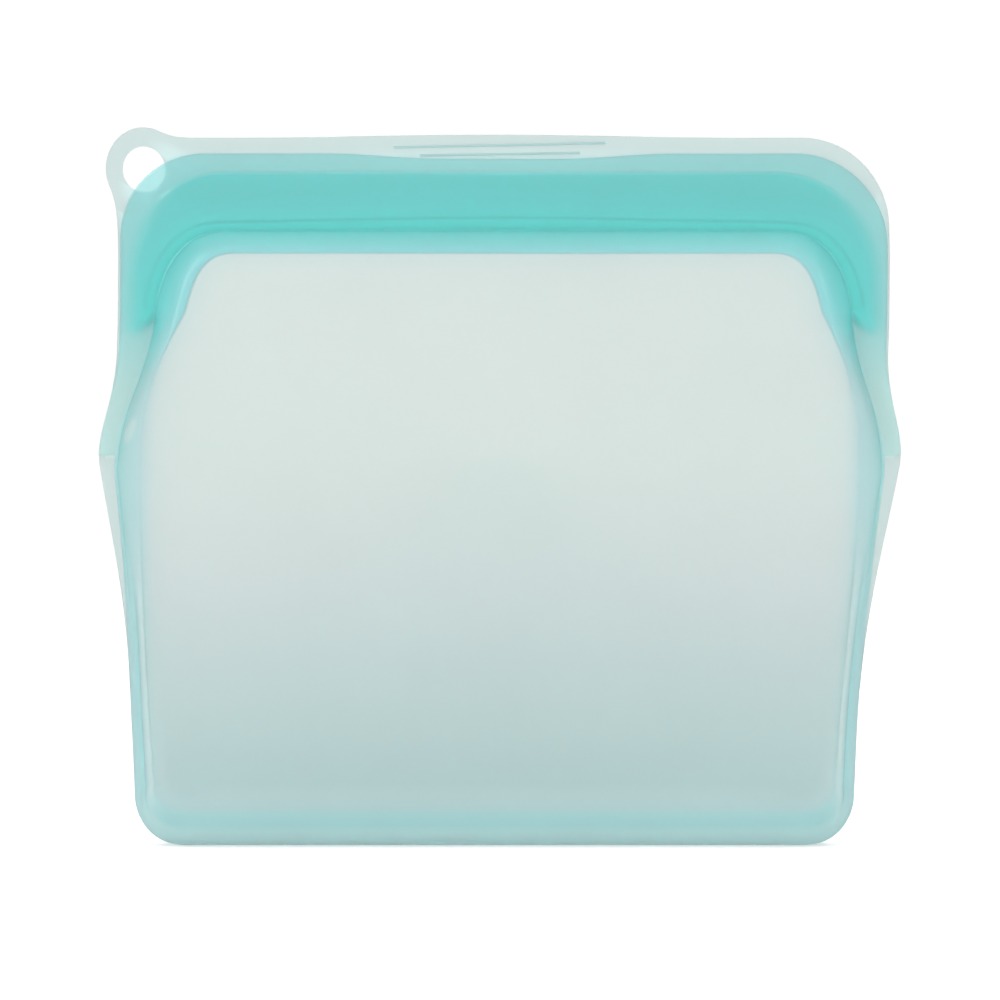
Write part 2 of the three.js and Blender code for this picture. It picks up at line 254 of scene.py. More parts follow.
def rays_to(edge, count):
    """Rays to points spaced evenly along an edge."""
    closed = np.vstack([clean(edge), clean(edge)[:1]])
    length = np.concatenate([[0], np.cumsum(np.linalg.norm(np.diff(closed, axis=0), axis=1))])
    at = np.linspace(0, length[-1], count, endpoint=False)
    points = np.stack([np.interp(at, length, closed[:, i]) for i in (0, 1)], axis=1) - CENTRE
    return np.sort(np.arctan2(points[:, 1], points[:, 0]))


def move_nearest(rays, wanted):
    """Move the rays nearest to the wanted ones onto them."""
    middle = np.angle(np.exp(1j * wanted).mean())
    gap = np.abs(np.angle(np.exp(1j * (rays - middle))))
    rays[np.argsort(gap)[: len(wanted)]] = np.angle(np.exp(1j * wanted))
    return np.sort(rays)


# %% One set of rays for each shell
RAYS = 700
end_low = math.atan2(-SQUARE_END, FOOT_HALF + 0.4)
end_high = math.atan2(SQUARE_END, WIDE)
square_end = np.array([end_low - 0.004, end_low, end_high, end_high + 0.003])
front_rays = rays_to(front_edge, RAYS)
for wanted in (square_end, math.pi - square_end):
    front_rays = move_nearest(front_rays, wanted)
back_rays = rays_to(back_edge, RAYS)
print(len(front_rays), "rays in front,", len(back_rays), "behind")

# %% [markdown]
# ## How far each point stands out
# A shell's shape is a depth over the front view. On the flat sheet it is a constant. The seal adds
# a soft-edged arch, and the rib or its channel adds to that. The pocket wall climbs from the foot
# to the face on a rounded curve. Near the floor that curve changes into a flat base with a small
# round edge, so that the bag has something to stand on.

# %% Depth of the pocket's face
DEPTH_LOW, DEPTH_TOP = 14.0, 9.0  # how far the face stands out, at the floor and at its top
SAG, RIPPLE, SAG_HALF = 1.6, 0.25, 104.0


def smooth(value, low, high):
    """0 below low, 1 above high, and a soft rise between."""
    t = np.clip((value - low) / (high - low), 0, 1)
    return t * t * (3 - 2 * t)


def fade(value, low, high):
    """1 below low, 0 above high, and a soft fall between."""
    return smooth(-value, -high, -low)


def pocket_depth(points):
    """The face leans in towards the top, and sags a little because nothing holds it out."""
    x, z = points[:, 0], points[:, 1]
    plain = DEPTH_LOW + (DEPTH_TOP - DEPTH_LOW) * z / FACE_TOP
    across = np.cos(np.clip(x / SAG_HALF, -1, 1) * math.pi / 2) ** 2
    up = np.sin(np.clip((z - FACE_LOW) / (FACE_TOP - FACE_LOW), 0, 1) * math.pi) ** 2
    ripple = RIPPLE * np.sin(x / 17 + z / 41) * np.sin(z / 23 - x / 60)
    return plain - across * up * (SAG + ripple)


print("face stands out", DEPTH_TOP, "to", DEPTH_LOW, "mm and sags", SAG, "mm")


# %% Two small marks of use
MARK_DEPTH = 0.5
BLISTER, BLISTER_RADII = (-119.8, 134.0), (2.1, 4.6)
DIMPLE, DIMPLE_RADII = (100.0, 182.0), (1.1, 2.6)


def blister(points):
    """1 on a small oval blister in the left fold, 0 off it. It also places the painted highlight on the
    blister.
    """
    x, z = points[:, 0] - BLISTER[0], points[:, 1] - BLISTER[1]
    away = np.hypot((x - z * 0.35) / BLISTER_RADII[0], z / BLISTER_RADII[1])
    return smooth(1 - away, 0, 0.35)


def pinches(points):
    """The blister, and a dimple that a thumb left on the right shoulder."""
    x, z = points[:, 0] - DIMPLE[0], points[:, 1] - DIMPLE[1]
    dimple = np.exp(-((x + z * 0.3) / DIMPLE_RADII[0]) ** 2 - (z / DIMPLE_RADII[1]) ** 2)
    return MARK_DEPTH * (blister(points) - dimple)


print("blister", BLISTER_RADII, "mm, dimple", DIMPLE_RADII, "mm")


# %% Wall thickness and the curve of the base
WALL_TOP, WALL_THICKER = 0.5, 0.35  # the wall at the top of the face, and what the floor adds
BASE_FLAT = 7.0  # half the flat part of the base, from front to back


def wall_thickness(points):
    return WALL_TOP + WALL_THICKER * (1 - np.clip(points[:, 1] / FACE_TOP, 0, 1))


def base_share(foot_z):
    """1 under the base, 0 up the sides, turning smoothly round the corner."""
    return np.arcsin(np.clip((BASE_CORNER - foot_z) / BASE_CORNER, 0, 1)) / (math.pi / 2)


print("wall", WALL_TOP, "to", WALL_TOP + WALL_THICKER, "mm thick")


# %% The course of a side wall
WALL_ROUNDNESS = 1.25  # 1 is a straight wall, 2 a round one
SKIRT_T, SKIRT_IN, SKIRT_OUT = 0.3, 0.45, 0.14
SKIRT_HEIGHTS = (55.0, 115.0)  # the skirt is full below these heights and gone above them
SHOULDER_PROUD = 0.1
SHOULDER_HEIGHTS = (150.0, 178.0)


def rounded(t):
    power = 2 / WALL_ROUNDNESS
    return 1 - math.cos(t * math.pi / 2) ** power, math.sin(t * math.pi / 2) ** power


def wall_course(t, skirt, shoulder):
    """How far in and out a side wall is, 0 to 1, at t from the foot, 0, to the face, 1.
    Low down, a shallow skirt comes before the steep part. The shoulder swells past the face and
    meets it in a crease."""
    plain_in, plain_out = rounded(t)
    swell = math.sin(max(0.0, (t - 0.25) / 0.75) ** 1.5 * math.pi)
    plain_out = plain_out + SHOULDER_PROUD * swell * shoulder
    if t < SKIRT_T:
        low_in, low_out = SKIRT_IN * t / SKIRT_T, SKIRT_OUT * (t / SKIRT_T) ** 2
    else:
        more_in, more_out = rounded((t - SKIRT_T) / (1 - SKIRT_T))
        low_in = SKIRT_IN + (1 - SKIRT_IN) * more_in
        low_out = SKIRT_OUT + (1 - SKIRT_OUT) * more_out
    return plain_in + (low_in - plain_in) * skirt, plain_out + (low_out - plain_out) * skirt


print("skirt up to", SKIRT_HEIGHTS[1], "mm, shoulder from", SHOULDER_HEIGHTS[0], "mm")


# %% The thick arch of the seal
SHEET = 1.15
PLAY = 0.1  # between each shell and the bond plane
EDGE_PAST, EDGE_WIDE = 0.6, 1.5  # the arch's crisp edge along the top
ARM_PAST, ARM_WIDE = 2.2, 6.7  # what is added to both down the arms
SLANT, SLANT_FROM, SLANT_WIDE = 0.9, 119.0, 8.0  # of the arms' lower ends


def seal_cover(points, beyond_foot, inside_edge):
    """1 on the thick arch of the seal and 0 off it. Its edge is crisp on top and softer down the
    arms, whose lower ends slant."""
    x, z = np.abs(points[:, 0]), points[:, 1]
    arm = fade(z, SEAL_TOP - 20, SEAL_TOP - 1)
    end = SEAL_END + SLANT * np.clip(SLANT_FROM - x, 0, SLANT_WIDE)
    side = smooth((inside_edge + EDGE_PAST + ARM_PAST * arm) / (EDGE_WIDE + ARM_WIDE * arm), 0, 1)
    return side * smooth(z - end, -2.5, 2.5) * smooth(beyond_foot, -3, -0.5)


def seal_swell(beyond_foot):
    """The arch is thickest next to the pocket's foot."""
    return 1.0 + 0.5 * fade(beyond_foot, 8, 17) + 1.0 * fade(beyond_foot, 2, 9)


print("sheet", SHEET, "mm, seal up to", SHEET + seal_swell(np.zeros(1))[0], "mm")


# %% The rib, its channel and the waves of the lips
RIB_FROM_FOOT, RIB_HALF = 2.7, 2.0
RIB_PROUD = 1.3
CHANNEL_DEEPER, CHANNEL_WIDER = 0.3, 0.4
LONG_WAVE, SHORT_WAVE = 0.7, 0.35
WAVE_HEIGHTS = (150.0, 226.0)  # no wave below these heights, the full wave above them


def rib_cover(points, beyond_foot, grow=0.0):
    ends = smooth(points[:, 1], SEAL_END + 7, SEAL_END + 9)
    return smooth(RIB_HALF + grow - np.abs(beyond_foot - RIB_FROM_FOOT), 0, 0.7) * ends


def rib_relief(points, beyond_foot):
    return RIB_PROUD * rib_cover(points, beyond_foot)


def channel_relief(points, beyond_foot):
    return -(RIB_PROUD + CHANNEL_DEEPER) * rib_cover(points, beyond_foot, grow=CHANNEL_WIDER)


def drape(x, z):
    """The slow waves of an unsupported lip, the same for both shells, so that they stay apart."""
    waves = LONG_WAVE * np.sin(x / 29 + 0.6) + SHORT_WAVE * np.sin(x / 13 + z / 30)
    return smooth(z, *WAVE_HEIGHTS) * waves


print("rib", 2 * RIB_HALF, "mm wide and", RIB_PROUD, "mm proud")


# %% [markdown]
# ## Pulling a skin
# By hand, a skin like this starts as a small circle in the middle of the face. Its edge is
# extruded again and again, and each new ring is moved to the next outline: over the face, down the
# wall, across the seal, round the lip's edge, and back along the inside to a second small circle.
# The two circles are filled, and the result is one closed sheet with its thickness built in.


# %% One ring after another
def deselect_all():
    for each in bpy.context.selected_objects:
        each.select_set(False)


def close_ring(piece, first, count):
    """Fill the flat circle of points that starts at first."""
    chosen = np.zeros(len(piece.data.vertices), bool)
    chosen[first:first + count] = True
    bpy.ops.object.mode_set(mode="EDIT")
    bpy.ops.mesh.select_mode(type="VERT")
    bpy.ops.mesh.select_all(action="DESELECT")
    bpy.ops.object.mode_set(mode="OBJECT")
    piece.data.vertices.foreach_set("select", chosen)
    bpy.ops.object.mode_set(mode="EDIT")
    bpy.ops.mesh.edge_face_add()
    bpy.ops.object.mode_set(mode="OBJECT")


def pull_skin(name, rings):
    """A closed skin through rings of points in millimetres."""
    deselect_all()
    count = len(rings[0])
    bpy.ops.mesh.primitive_circle_add(vertices=count, radius=0.01, fill_type="NOTHING")
    piece = bpy.context.object
    piece.name = piece.data.name = name
    bpy.ops.object.mode_set(mode="EDIT")
    bpy.ops.mesh.select_all(action="SELECT")
    for _ in rings[1:]:
        bpy.ops.mesh.extrude_region_move()
    bpy.ops.object.mode_set(mode="OBJECT")
    piece.data.vertices.foreach_set("co", (np.vstack(rings) * MM).ravel())
    for first in (0, len(piece.data.vertices) - count):
        close_ring(piece, first, count)
    bpy.ops.object.mode_set(mode="EDIT")
    bpy.ops.mesh.select_all(action="SELECT")
    bpy.ops.mesh.normals_make_consistent(inside=False)
    bpy.ops.object.mode_set(mode="OBJECT")
    bpy.ops.object.shade_smooth()
    print(name, len(piece.data.vertices), "points", len(piece.data.polygons), "faces")
    return piece


# %% Steps from the middle of the face to the rim
FACE_STEPS = (0.03, 0.12, 0.24, 0.36, 0.47, 0.57, 0.66, 0.74, 0.81, 0.87, 0.92, 0.955, 0.98, 0.993)
WALL_STEPS = (1, 0.97, 0.93, 0.88, 0.81, 0.73, 0.65, 0.57, 0.49, 0.41, 0.33, 0.25, 0.17, 0.1, 0.04)
RIM = (  # round the lip's edge: in from the edge, share of the sheet; in and out under the base
    (0.14, 0.97, 0, 0.3), (0.03, 0.78, 0, 0.22), (0, 0.5, 0.05, 0.14), (0.03, 0.22, 0.12, 0.1),
    (0.14, 0.03, 0.3, 0.1),
)
print(len(FACE_STEPS), "rings on the face,", len(WALL_STEPS), "on the wall,", len(RIM), "round the rim")

# %% Steps across the lip, the seal and the flange
SEAL_RIM = 0.8  # the seal stays this far inside the edge
TUCK_OVER = 18.0  # above the flange's square end, the foot moves back out over this height
BASE_CLOSE = 0.35  # how near to the middle of the base the outer rings end


def foot_reach(rays, edge_r, share):
    """The foot, tucked in where the edge would leave it no bond."""
    whole = reach(foot, rays)
    tuck = BOND * fade(places(whole, rays)[:, 1], WIDE_Z, WIDE_Z + TUCK_OVER)
    tucked = np.minimum(whole - tuck, edge_r - BOND)
    return tucked + (whole - tucked) * share


def outer_distances(band, width):
    """From the foot over the seal and past its edge."""
    ones = np.ones(len(width))
    near = [step * ones for step in (0, 1, 2.2, 3.6, 5.2, 7)]
    over = [7 + (band - 9.5) * f for f in (0.2, 0.4, 0.6, 0.8)]
    edge = [band + step for step in (-2, -1, -0.5, 0, 0.5, 1.2)]
    return near + over + edge + [width - 0.8]


def inner_distances(width):
    """From the foot over the rib or the channel."""
    ones = np.ones(len(width))
    over = [(RIB_FROM_FOOT + s) * ones for s in (-2.4, -2, -1.7, -1.3, 0, 1.3, 1.7, 2, 2.4)]
    far = [RIB_FROM_FOOT + 2.4 + (width - 6.5) * f for f in (0.15, 0.4, 0.65, 0.9)]
    return [0 * ones] + over + far


def spread(wanted, width):
    """Distances from the foot, kept in order where the sheet is narrow."""
    kept = []
    total = len(wanted)
    for k, distance in enumerate(wanted):
        low = width * 0.03 * k / total
        if kept:
            low = np.maximum(low, kept[-1] + width * 0.2 / total)
        high = width * (0.98 - 0.6 * (total - 1 - k) / total)
        kept.append(np.minimum(np.maximum(distance, low), high))
    return kept


# %% The rings of one shell, out over its face and back along the inside
def shell_rings(edge, rays, side, rib):
    """side is -1 for the front shell and 1 for the back one."""
    face_r, edge_r = reach(face, rays), reach(edge, rays)
    share = base_share(places(reach(foot, rays), rays)[:, 1])
    foot_r = foot_reach(rays, edge_r, share)
    feet = places(foot_r, rays)
    skirt = fade(feet[:, 1], *SKIRT_HEIGHTS)
    shoulder = smooth(feet[:, 1], *SHOULDER_HEIGHTS)
    seal_r = np.minimum(reach(seal_edge, rays), edge_r - SEAL_RIM)
    band, width = seal_r - foot_r, edge_r - foot_r
    ones = np.ones(len(rays))
    foot_cover = seal_cover(feet, 0 * ones, band) * seal_swell(0 * ones)
    rings = []

    def add(side_r, side_depth, base_r, base_depth):
        """A ring that follows the side's course, or the base's course under the bag."""
        points = places(side_r + (base_r - side_r) * share, rays)
        depth = side_depth + (base_depth - side_depth) * share
        y = side * depth + drape(points[:, 0], points[:, 1])
        rings.append(np.stack([points[:, 0], y, points[:, 1]], axis=1))

    def pocket(inner):
        """The courses from the middle of the face out to the foot."""
        by = wall_thickness(feet) if inner else 0 * ones
        start = PLAY if inner else PLAY + SHEET + foot_cover
        for f in FACE_STEPS:
            side_r = (face_r - by) * f
            full = pocket_depth(places(side_r, rays)) - by
            yield side_r, full, side_r, full
        for t in WALL_STEPS:
            turn = t * math.pi / 2
            into, out = wall_course(t, skirt, shoulder)
            side_r = foot_r - by + (face_r - foot_r) * into
            full = pocket_depth(places(side_r, rays)) - by + pinches(places(side_r, rays))
            base_r = foot_r - by + (face_r - foot_r) * (1 - math.cos(turn))
            base_y = BASE_FLAT + (full - BASE_FLAT) * math.sin(turn)
            yield side_r, start + (full - start) * out, base_r, base_y

    def sheet(distances, inner):
        """The courses from the foot out to the rim."""
        total = len(distances)
        for k, d in enumerate(spread(distances, width)):
            points = places(foot_r + d, rays)
            if inner:
                depth = PLAY - rib(points, d)
                base_r = edge_r - wall_thickness(points)
            else:
                depth = PLAY + SHEET + seal_cover(points, d, band - d) * seal_swell(d)
                base_r = edge_r
            base_y = BASE_FLAT + (BASE_CLOSE - BASE_FLAT) * (k + 0.5) / total
            yield foot_r + d, depth, base_r, base_y * ones

    for course in [*pocket(False), *sheet(outer_distances(band, width), False)]:
        add(*course)
    for back, share_of_sheet, base_back, base_out in RIM:
        add(edge_r - back, PLAY + SHEET * share_of_sheet, edge_r - base_back, base_out * ones)
    for course in [*pocket(True), *sheet(inner_distances(width), True)][::-1]:
        add(*course)
    return rings


# %% Pull both shells
front_shell = pull_skin("front_shell", shell_rings(front_edge, front_rays, -1, rib_relief))
back_shell = pull_skin("back_shell", shell_rings(back_edge, back_rays, 1, channel_relief))

# %% [markdown]
# ## The hang hole
# The ring at the top left corner is punched through. A tall oval cylinder is put where the hole
# goes, and a boolean modifier cuts it out of the back shell, as the mould's core pin would.

# %% Punch the hole
HOLE_RADII = (7.0, 7.5)


def punch_hole(piece):
    deselect_all()
    bpy.ops.mesh.primitive_cylinder_add(
        vertices=96, radius=MM, depth=20 * MM, location=(TAB[0] * MM, 0, TAB[1] * MM),
        rotation=(math.pi / 2, 0, 0),
    )
    pin = bpy.context.object
    pin.scale = (HOLE_RADII[0], HOLE_RADII[1], 1)
    bpy.ops.object.transform_apply(location=True, rotation=True, scale=True)
    cut = piece.modifiers.new("punch", "BOOLEAN")
    cut.operation, cut.solver, cut.object = "DIFFERENCE", "EXACT", pin
    deselect_all()
    piece.select_set(True)
    bpy.context.view_layer.objects.active = piece
    bpy.ops.object.modifier_apply(modifier=cut.name)
    bpy.data.objects.remove(pin)
    bpy.ops.object.shade_smooth_by_angle(angle=math.radians(50))
    print("punched", piece.name, len(piece.data.polygons), "faces")


punch_hole(back_shell)

# %% [markdown]
# ## Grip ridges
# Two fine raised lines on the back lip help a thumb find the shorter front lip. Each is a slim
# bar with rounded edges. It lies on the lip's front surface and follows its waves.

# %% Two rounded bars
RIDGE_SIZE = (0.75, 0.6)  # wide, proud
RIDGE_BEVEL = 0.3
RIDGE_OVERLAP = 0.02  # how far a bar sinks into the lip


def grip_ridge(node, tilt):
    low, high = box_mm(node)
    centre = (low + high) / 2
    deselect_all()
    bpy.ops.mesh.primitive_cube_add(size=1)
    piece = bpy.context.object
    piece.name = piece.data.name = node + "_bar"
    piece.scale = ((high[0] - low[0]) * MM, RIDGE_SIZE[1] * MM, RIDGE_SIZE[0] * MM)
    bpy.ops.object.transform_apply(scale=True)
    bevel = piece.modifiers.new("round", "BEVEL")
    bevel.width, bevel.segments, bevel.limit_method = RIDGE_BEVEL * MM, 3, "NONE"
    bpy.ops.object.modifier_apply(modifier=bevel.name)
    piece.rotation_euler = (0, -math.radians(tilt), 0)
    piece.location = (centre[0] * MM, 0, centre[2] * MM)
    bpy.ops.object.transform_apply(location=True, rotation=True, scale=True)
    bpy.ops.object.mode_set(mode="EDIT")
    bpy.ops.mesh.select_all(action="SELECT")
    bpy.ops.mesh.subdivide(number_cuts=12)
    bpy.ops.object.mode_set(mode="OBJECT")
    for corner in piece.data.vertices:
        x, z = corner.co.x / MM, corner.co.z / MM
        corner.co.y += (drape(x, z) - RIDGE_SIZE[1] / 2 + PLAY - RIDGE_OVERLAP) * MM
    bpy.ops.object.shade_smooth()
    print(piece.name, "is", round(high[0] - low[0], 1), "mm long")
    return piece


upper_ridge = grip_ridge("upper_grip_ridge", 1.3)
lower_ridge = grip_ridge("lower_grip_ridge", 1.0)

# %% [markdown]
# ## How teal each spot looks
# Clear silicone with a little pigment looks deeper the thicker it is. The skins carry their real
# thickness, and a painted colour attribute adds what folding, pressing and doubling do to a wall,
# as a maker would brush it on in vertex paint: pale on the face, deepest at the root of the seal.
# The same attribute also holds painted light: painted shade that darkens the face towards the
# bottom, a thin line of painted shade in the crease at the face's edge, and a painted highlight
# on the blister in the left fold.


# %% Tints of the zones, each a run of stops
def stops(value, *places_and_tints):
    at = [place for place, _ in places_and_tints]
    tints = np.array([tint for _, tint in places_and_tints])
    return np.stack([np.interp(value, at, tints[:, i]) for i in range(3)], axis=1)


def mix(a, b, share):
    return a + (b - a) * share[:, None]


# Each stop is a place and its tint. Up a wall, 0 is the foot and 1 is the edge of the face. On the
# face the place is a height, and on the seal it is a distance from the foot.
# The face's tint grows darker towards the bottom: painted shade, as if the light from above falls off
# down the face.
FACE_TINTS_WITH_PAINTED_SHADE = (
    (14, (0.73, 0.82, 0.827)), (30, (0.78, 0.85, 0.847)), (56, (0.85, 0.881, 0.877)),
    (82, (0.92, 0.913, 0.91)), (108, (0.952, 0.937, 0.92)), (130, (0.965, 0.961, 0.943)),
    (176, (0.975, 0.966, 0.948)),
)
LIP_TINT = (0.77, 0.8, 0.787)  # the back lip, where it stands alone
FRONT_LIP_TINT = (0.56, 0.865, 0.865)
UNDER_LIP_TINT = (0.88, 1.0, 1.0)  # the back lip, where the front one covers it
FLANGE_TINT = (0.86, 0.955, 0.935)  # both shells, down the side flanges
SEAL_TINTS = ((0, (0.27, 0.95, 0.91)), (8, (0.345, 0.885, 0.87)), (16, (0.345, 0.85, 0.835)))
# The stops at 1.0 and 1.03 paint a thin grey line of painted shade in the crease where the shoulder meets
# the face.
SHOULDER_TINTS_WITH_CREASE_SHADE = (
    (0, (0.33, 0.97, 0.95)), (0.3, (0.4, 0.96, 0.95)), (0.7, (0.53, 0.92, 0.94)),
    (0.95, (0.58, 0.91, 0.93)), (1.0, (0.58, 0.79, 0.81)), (1.03, (0.8, 0.89, 0.89)),
    (1.06, (0.97, 0.97, 0.955)),
)
FLANK_TINTS = (
    (0, (0.74, 1.0, 1.0)), (0.15, (0.72, 0.97, 0.97)), (0.4, (0.76, 0.93, 0.94)),
    (1.0, (0.83, 0.92, 0.93)), (1.8, (0.96, 0.96, 0.945)),
)
LOW_FLANK_TINTS = (  # where the skirt is
    (0, (0.84, 0.94, 0.95)), (0.3, (0.78, 0.92, 0.93)), (0.5, (0.72, 0.96, 0.97)),
    (0.62, (0.78, 0.9, 0.905)), (1.0, (0.82, 0.9, 0.9)), (1.8, (0.93, 0.93, 0.92)),
)
BASE_TINTS = (
    (0, (0.71, 0.9, 0.9)), (0.1, (0.765, 0.92, 0.92)), (0.45, (0.765, 0.915, 0.915)),
    (0.55, (0.645, 0.865, 0.874)), (0.95, (0.645, 0.865, 0.874)), (1.08, (0.73, 0.82, 0.827)),
)


print("tints for 4 plain zones and 6 runs of stops")


# %% Painting a shell
FLANGE_HEIGHTS = (140.0, 176.0)
SHOULDER_TINT_HEIGHTS = (140.0, 178.0)
BASE_TINT_HEIGHTS = (6.0, 20.0)
# How strongly the painted highlight whitens the blister.
BLISTER_PAINTED_HIGHLIGHT = 0.8


def paint(piece, edge, free_tint, cover_tint):
    mesh = piece.data
    co = np.empty(len(mesh.vertices) * 3)
    mesh.vertices.foreach_get("co", co)
    points = co.reshape(-1, 3)[:, [0, 2]] / MM
    z = points[:, 1]
    radius = np.hypot(*(points - CENTRE).T)
    turn = np.arctan2(*(points - CENTRE).T[::-1])
    foot_r, face_r = reach(foot, turn), reach(face, turn)
    seal_r = np.minimum(reach(seal_edge, turn), reach(edge, turn) - SEAL_RIM)
    under = smooth(reach(front_edge, turn) - radius, -0.2, 0.2)
    doubled = np.tile(cover_tint, (len(points), 1))
    doubled = mix(doubled, np.array(FLANGE_TINT), fade(z, *FLANGE_HEIGHTS))
    lip = mix(np.array(free_tint), doubled, under)
    cover = seal_cover(points, radius - foot_r, seal_r - radius)
    sheet = mix(lip, stops(radius - foot_r, *SEAL_TINTS), cover)

    up_wall = (foot_r - radius) / (foot_r - face_r)
    low_flank, flank = stops(up_wall, *LOW_FLANK_TINTS), stops(up_wall, *FLANK_TINTS)
    wall = mix(low_flank, flank, smooth(z, *SKIRT_HEIGHTS))
    # The shoulder's tint, with a line of painted shade in the crease at the face's edge.
    wall = mix(wall, stops(up_wall, *SHOULDER_TINTS_WITH_CREASE_SHADE), smooth(z, *SHOULDER_TINT_HEIGHTS))
    wall = mix(wall, stops(up_wall, *BASE_TINTS), fade(z, *BASE_TINT_HEIGHTS))
    # The face's tint, with its painted shade darker towards the bottom.
    wall = mix(wall, stops(z, *FACE_TINTS_WITH_PAINTED_SHADE), smooth(up_wall, 1.0, 1.8))
    # A painted highlight: a pale oval on the blister, where a lamp would glint on the bulge.
    wall = mix(wall, np.ones((len(points), 3)), BLISTER_PAINTED_HIGHLIGHT * blister(points))
    tint = np.where(up_wall[:, None] > 0, wall, sheet)
    layer = mesh.attributes.new("silicone_tint", "FLOAT_COLOR", "POINT")
    layer.data.foreach_set("color", np.hstack([tint, np.ones((len(tint), 1))]).astype(np.float32).ravel())
    print(piece.name, "tints from", tint.min(axis=0).round(2), "to", tint.max(axis=0).round(2))


paint(front_shell, front_edge, FRONT_LIP_TINT, FRONT_LIP_TINT)
paint(back_shell, back_edge, LIP_TINT, UNDER_LIP_TINT)
for ridge in (upper_ridge, lower_ridge):
    layer = ridge.data.attributes.new("silicone_tint", "FLOAT_COLOR", "POINT")
    layer.data.foreach_set("color", np.tile((0.7, 0.86, 0.86, 1.0), len(ridge.data.vertices)))

# %% [markdown]
# ## A slight lean
# A soft bag never stands quite straight. Its foot has slid a little to the left and its shoulders
# a little to the right, by at most 1.6 millimetres. Every piece is moved by the same rule.

# %% Lean every piece
LEAN_Z = (0, 45, 75, 105, 130, 150, 170, 195, 205, 217, 233)
LEAN_X = (-1.5, -1.5, -0.7, -0.1, 0.3, 0.8, 1.45, 1.6, 1.1, 0.4, 0.1)
EVEN = 6  # how far up and down, in millimetres, the bends of the lean are evened out

heights = np.linspace(0, 233, 234)
rough = np.pad(np.interp(heights, LEAN_Z, LEAN_X), EVEN, mode="edge")
shifts = np.convolve(rough, np.ones(2 * EVEN + 1) / (2 * EVEN + 1), mode="valid")


def lean(piece):
    mesh = piece.data
    co = np.empty(len(mesh.vertices) * 3)
    mesh.vertices.foreach_get("co", co)
    co = co.reshape(-1, 3)
    co[:, 0] += np.interp(co[:, 2] / MM, heights, shifts) * MM
    mesh.vertices.foreach_set("co", co.ravel())
    mesh.update()


for piece in (front_shell, back_shell, upper_ridge, lower_ridge):
    lean(piece)
print("leaned by", shifts.min().round(1), "to", shifts.max().round(1), "mm")

# %% [markdown]
# ## Frosted silicone
# The finish is platinum-cured silicone from a blasted mould: light goes through it but is blurred,
# and the skin has a soft sheen. A Principled shader that mostly transmits, with a fairly high
# roughness, does the blurring. A Volume Absorption inside it takes out red light along the way, so
# thick parts turn teal by themselves. The painted tint, a cloudy noise and a fine grain do the rest.


# %% The painted tint, a little cloudy
def add_tint(nodes, links, place, skin):
    tint = nodes.new("ShaderNodeAttribute")
    tint.attribute_name = "silicone_tint"
    cloud = nodes.new("ShaderNodeTexNoise")
    cloud.inputs["Scale"].default_value = 22
    cloud.inputs["Detail"].default_value = 4
    links.new(place.outputs["Object"], cloud.inputs["Vector"])
    uneven = nodes.new("ShaderNodeMapRange")
    uneven.inputs["To Min"].default_value = 0.965
    uneven.inputs["To Max"].default_value = 1.0
    links.new(cloud.outputs["Fac"], uneven.inputs["Value"])
    shade = nodes.new("ShaderNodeMix")
    shade.data_type = "RGBA"
    shade.blend_type = "MULTIPLY"
    shade.inputs["Factor"].default_value = 1
    links.new(tint.outputs["Color"], shade.inputs["A"])
    links.new(uneven.outputs["Result"], shade.inputs["B"])
    links.new(shade.outputs["Result"], skin.inputs["Base Color"])


# %% The fine grain that the blasted mould leaves
def add_grain(nodes, links, place, skin):
    grain = nodes.new("ShaderNodeTexNoise")
    grain.inputs["Scale"].default_value = 1400
    grain.inputs["Detail"].default_value = 2
    links.new(place.outputs["Object"], grain.inputs["Vector"])
    bump = nodes.new("ShaderNodeBump")
    bump.inputs["Strength"].default_value = 0.06
    bump.inputs["Distance"].default_value = 0.0001
    links.new(grain.outputs["Fac"], bump.inputs["Height"])
    links.new(bump.outputs["Normal"], skin.inputs["Normal"])


# %% The silicone material
def silicone():
    material = bpy.data.materials.new("frosted_teal_silicone")
    material.use_nodes = True
    nodes, links = material.node_tree.nodes, material.node_tree.links
    skin = nodes["Principled BSDF"]
    skin.inputs["Transmission Weight"].default_value = 0.7
    skin.inputs["Roughness"].default_value = 0.4
    skin.inputs["IOR"].default_value = 1.41
    skin.inputs["Coat Weight"].default_value = 0.35
    skin.inputs["Coat Roughness"].default_value = 0.16
    place = nodes.new("ShaderNodeTexCoord")
    add_tint(nodes, links, place, skin)
    add_grain(nodes, links, place, skin)

    absorb = nodes.new("ShaderNodeVolumeAbsorption")
    absorb.inputs["Color"].default_value = (0.0, 0.88, 0.87, 1)
    absorb.inputs["Density"].default_value = 170
    links.new(absorb.outputs["Volume"], nodes["Material Output"].inputs["Volume"])
    return material


clear_teal = silicone()
for piece in (front_shell, back_shell, upper_ridge, lower_ridge):
    piece.data.materials.clear()
    piece.data.materials.append(clear_teal)
print(clear_teal.name, "has", len(clear_teal.node_tree.nodes), "nodes")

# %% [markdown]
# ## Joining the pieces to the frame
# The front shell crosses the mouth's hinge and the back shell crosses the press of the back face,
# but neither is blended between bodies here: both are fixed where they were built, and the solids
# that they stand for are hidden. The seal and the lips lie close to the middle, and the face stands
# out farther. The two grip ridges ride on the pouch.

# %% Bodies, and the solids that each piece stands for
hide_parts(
    "front_wall", "front_throat", "front_lip", "seal_rib", "front_base",
    "front_left_gusset", "front_right_gusset", "left_side_weld", "right_side_weld",
)
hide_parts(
    "back_wall", "back_throat", "back_lip", "seal_channel", "back_base", "back_left_gusset",
    "back_right_gusset", "left_flange", "right_flange", "hang_tab",
)
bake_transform(front_shell)
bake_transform(back_shell)
for ridge, node in ((upper_ridge, "upper_grip_ridge"), (lower_ridge, "lower_grip_ridge")):
    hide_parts(node)
    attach(ridge, "pouch")

